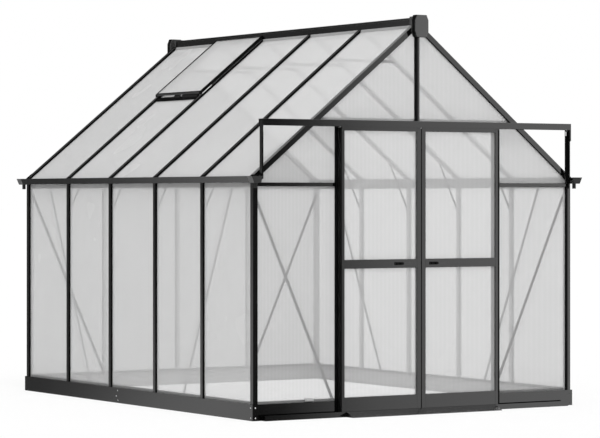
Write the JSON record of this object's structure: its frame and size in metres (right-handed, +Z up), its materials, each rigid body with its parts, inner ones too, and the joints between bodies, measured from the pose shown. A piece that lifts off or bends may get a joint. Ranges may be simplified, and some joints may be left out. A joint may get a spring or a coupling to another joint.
{
  "type": "greenhouse",
  "caption": "Walk-in garden greenhouse with a pitched roof, translucent twin-wall panels in a dark metal frame, sliding front doors, a roof vent and gutters.",
  "frame": {"origin": "on the ground under the middle of the whole object's bounding box, ramp and gutters included", "axes": "+Z up, +X to the right when facing the doors, +Y from the doors towards the back wall; the doors face -Y"},
  "size_m": [2.524, 3.223, 2.5012],
  "materials": {
    "frame_aluminium": "satin dark powder coat on extruded aluminium",
    "door_aluminium": "satin dark powder coat on extruded aluminium",
    "base_steel": "satin dark powder coat on folded steel sheet",
    "brace_steel": "plain galvanised flat bar, dull",
    "polycarbonate_sheet": "translucent twin-wall sheet with fine flutes, satin",
    "cap_plastic": "moulded plastic, finely textured",
    "fitting_plastic": "moulded black plastic"
  },
  "bodies": {
    "house": {"end_base_rails": "base_steel", "side_base_rails": "base_steel", "door_sill": "base_steel", "panel_sill_rails": "frame_aluminium", "corner_posts": "frame_aluminium", "side_wall_posts": "frame_aluminium", "back_wall_posts": "frame_aluminium", "door_posts": "frame_aluminium", "eave_beams": "frame_aluminium", "gutters": "frame_aluminium", "gutter_end_caps": "cap_plastic", "corner_covers": "frame_aluminium", "ridge_beam": "frame_aluminium", "ridge_end_caps": "cap_plastic", "rafters": "frame_aluminium", "gable_rafters": "frame_aluminium", "gable_mullions": "frame_aluminium", "gable_beam": "frame_aluminium", "end_eave_bars": "frame_aluminium", "side_wall_panels": "polycarbonate_sheet", "end_wall_panels": "polycarbonate_sheet", "roof_panels": "polycarbonate_sheet", "gable_panels": "polycarbonate_sheet", "vent_stiles": "frame_aluminium", "vent_rails": "frame_aluminium", "vent_pane": "polycarbonate_sheet", "vent_sill": "frame_aluminium", "vent_stay": "frame_aluminium", "wall_braces": "brace_steel", "knee_braces": "brace_steel", "collar_ties": "brace_steel", "door_head_rail": "frame_aluminium", "rail_stays": "frame_aluminium", "bottom_track": "base_steel", "threshold_ramp": "base_steel"},
    "left_door": {"left_door_stiles": "door_aluminium", "left_door_rails": "door_aluminium", "left_door_panels": "polycarbonate_sheet", "left_door_latch": "fitting_plastic", "left_door_rollers": "fitting_plastic"},
    "right_door": {"right_door_stiles": "door_aluminium", "right_door_rails": "door_aluminium", "right_door_panels": "polycarbonate_sheet", "right_door_latch": "fitting_plastic", "right_door_rollers": "fitting_plastic"}
  },
  "joints": [
    {"name": "left_door_slide", "type": "slide", "parent": "house", "child": "left_door", "axis": [-1, 0, 0], "range_m": [0, 0.54]},
    {"name": "right_door_slide", "type": "slide", "parent": "house", "child": "right_door", "axis": [1, 0, 0], "range_m": [0, 0.54]}
  ]
}
